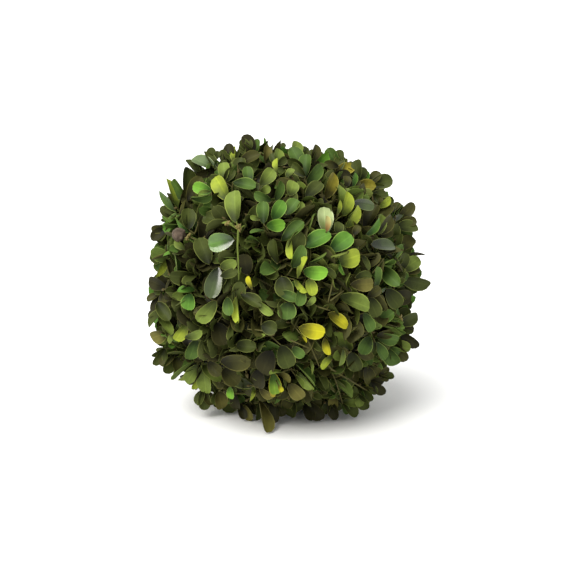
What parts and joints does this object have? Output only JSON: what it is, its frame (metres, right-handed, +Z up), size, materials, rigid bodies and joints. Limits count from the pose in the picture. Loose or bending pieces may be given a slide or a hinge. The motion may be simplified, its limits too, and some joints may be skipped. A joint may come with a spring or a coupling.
{
  "type": "preserved box topiary ball",
  "caption": "Round ball of cut, preserved box sprigs set all round a hidden core, clipped to one dense globe of small leaves. It lies loose on a table or shelf.",
  "frame": {"origin": "on the surface that the ball lies on, under the middle of the ball's outline", "axes": "+Z up, through the ball's slightly taller crown; +Y points away from the front, and +X to the right as the front is seen"},
  "size_m": [0.1804, 0.1824, 0.183],
  "materials": {
    "foliage": "preserved box leaves, satin to glossy, dark olive to yellow-green, on thin olive-brown twigs",
    "core": "matt dark brown moss round a light core"
  },
  "bodies": {
    "root": {"core_ball": "core", "sprig_01": "foliage", "sprig_02": "foliage", "sprig_03": "foliage", "sprig_04": "foliage", "sprig_05": "foliage", "sprig_06": "foliage", "sprig_07": "foliage", "sprig_08": "foliage", "sprig_09": "foliage", "sprig_10": "foliage", "sprig_11": "foliage", "sprig_12": "foliage", "sprig_13": "foliage", "sprig_14": "foliage", "sprig_15": "foliage", "sprig_16": "foliage", "sprig_17": "foliage", "sprig_18": "foliage", "sprig_19": "foliage", "sprig_20": "foliage"}
  },
  "joints": []
}
